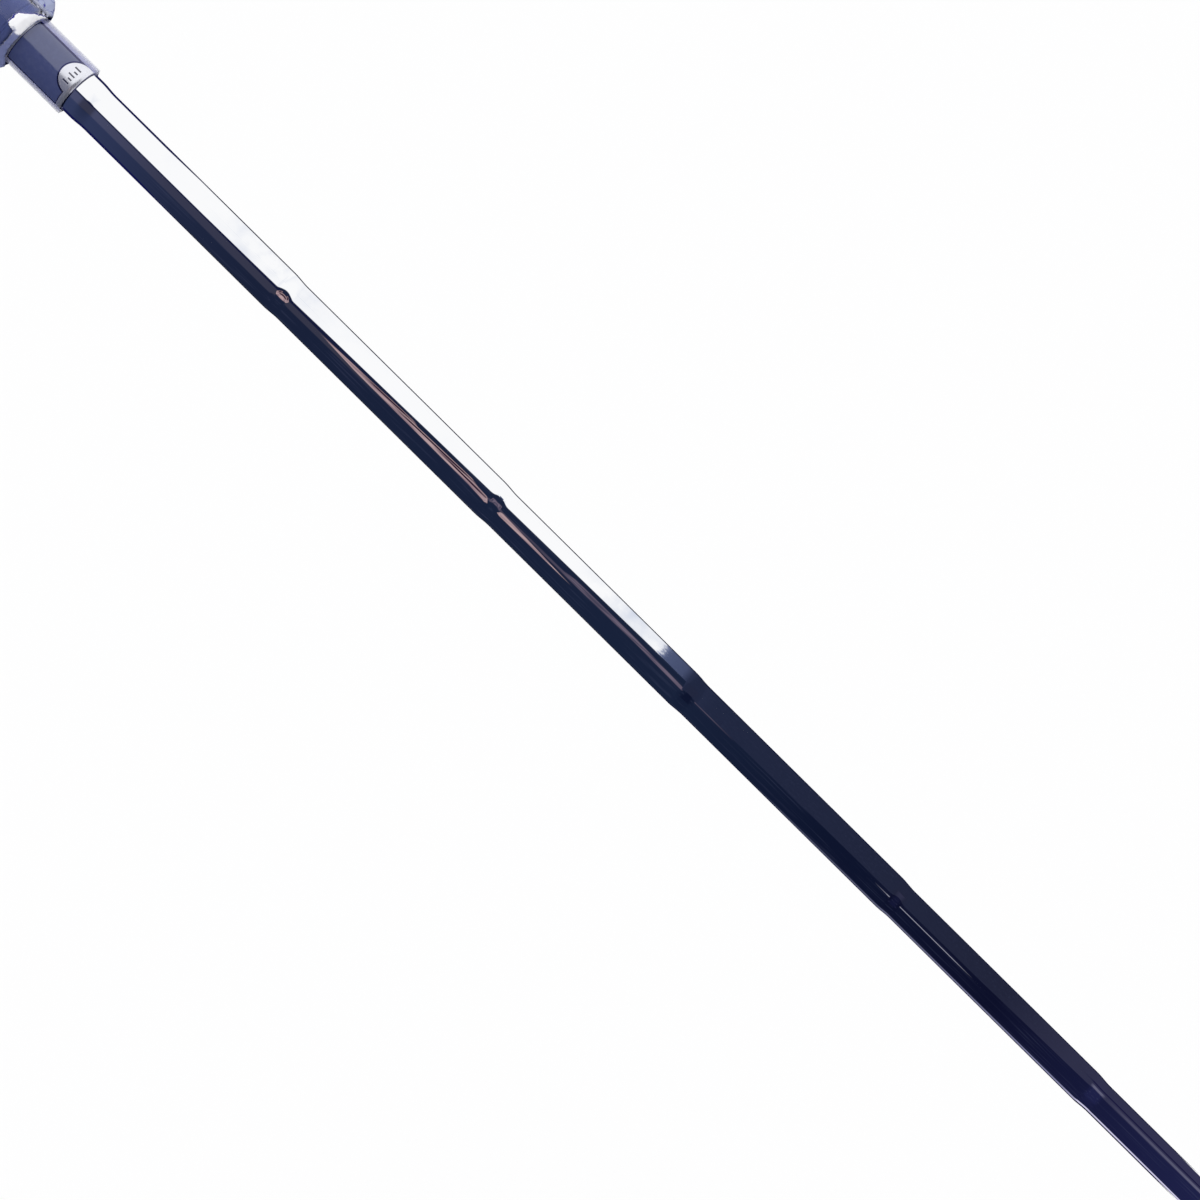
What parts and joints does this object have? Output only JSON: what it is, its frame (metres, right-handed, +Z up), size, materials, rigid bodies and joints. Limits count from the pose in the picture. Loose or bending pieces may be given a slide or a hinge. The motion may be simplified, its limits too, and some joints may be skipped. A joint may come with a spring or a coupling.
{
  "type": "golf putter",
  "caption": "Blade golf putter at address: stepped chrome steel shaft with a film band, wrapped pistol grip, offset neck, grooved face and screw-in weights.",
  "frame": {"origin": "on the shaft's axis at the middle of the hands, 110 mm below the butt end, which is where the putter is held", "axes": "+Z up, with the sole flat on the ground at address; the striking face points to -Y, the toe to -X, and the shaft leans towards +X at a lie of 70 degrees"},
  "size_m": [0.3736, 0.0455, 0.8146],
  "materials": {
    "chrome_shaft": "mirror",
    "plug_rubber": "matte",
    "printed_film": "gloss, printed",
    "grip_rubber": "matte, textured",
    "grip_foam": "matte foam",
    "mounting_tape": "matte",
    "nose_rubber": "satin",
    "clear_film": "clear gloss",
    "cap_plastic": "satin",
    "plug_aluminium": "turned",
    "milled_steel": "satin milled",
    "insert_aluminium": "satin",
    "bond_sheet": "matte",
    "weight_steel": "turned",
    "washer_rubber": "matte",
    "sight_paint": "matte",
    "neck_steel": "satin",
    "black_screw": "black oxide",
    "ferrule_plastic": "gloss"
  },
  "bodies": {
    "putter": {"shaft": "chrome_shaft", "tip_plug": "plug_rubber", "shaft_band": "printed_film", "grip_skin": "grip_rubber", "grip_core": "grip_foam", "grip_tape": "mounting_tape", "grip_nose": "nose_rubber", "grip_film": "clear_film", "end_cap": "cap_plastic", "head_body": "milled_steel", "face_insert": "insert_aluminium", "insert_bond_sheet": "bond_sheet", "sight_line_inlay": "sight_paint", "hosel_neck": "neck_steel", "neck_screw": "black_screw", "ferrule": "ferrule_plastic"},
    "toe_weight": {"bumper_weight_toe": "weight_steel", "weight_washer_toe": "washer_rubber"},
    "heel_weight": {"bumper_weight_heel": "weight_steel", "weight_washer_heel": "washer_rubber"},
    "butt_plug": {"cap_plug": "plug_aluminium"}
  },
  "joints": [
    {"name": "toe_weight_out", "type": "slide", "parent": "putter", "child": "toe_weight", "axis": [0, 1, 0], "range_m": [0, 0.0125]},
    {"name": "heel_weight_out", "type": "slide", "parent": "putter", "child": "heel_weight", "axis": [0, 1, 0], "range_m": [0, 0.0125]},
    {"name": "butt_plug_out", "type": "slide", "parent": "putter", "child": "butt_plug", "axis": [0.342, 0, 0.9397], "range_m": [0, 0.0135]}
  ]
}
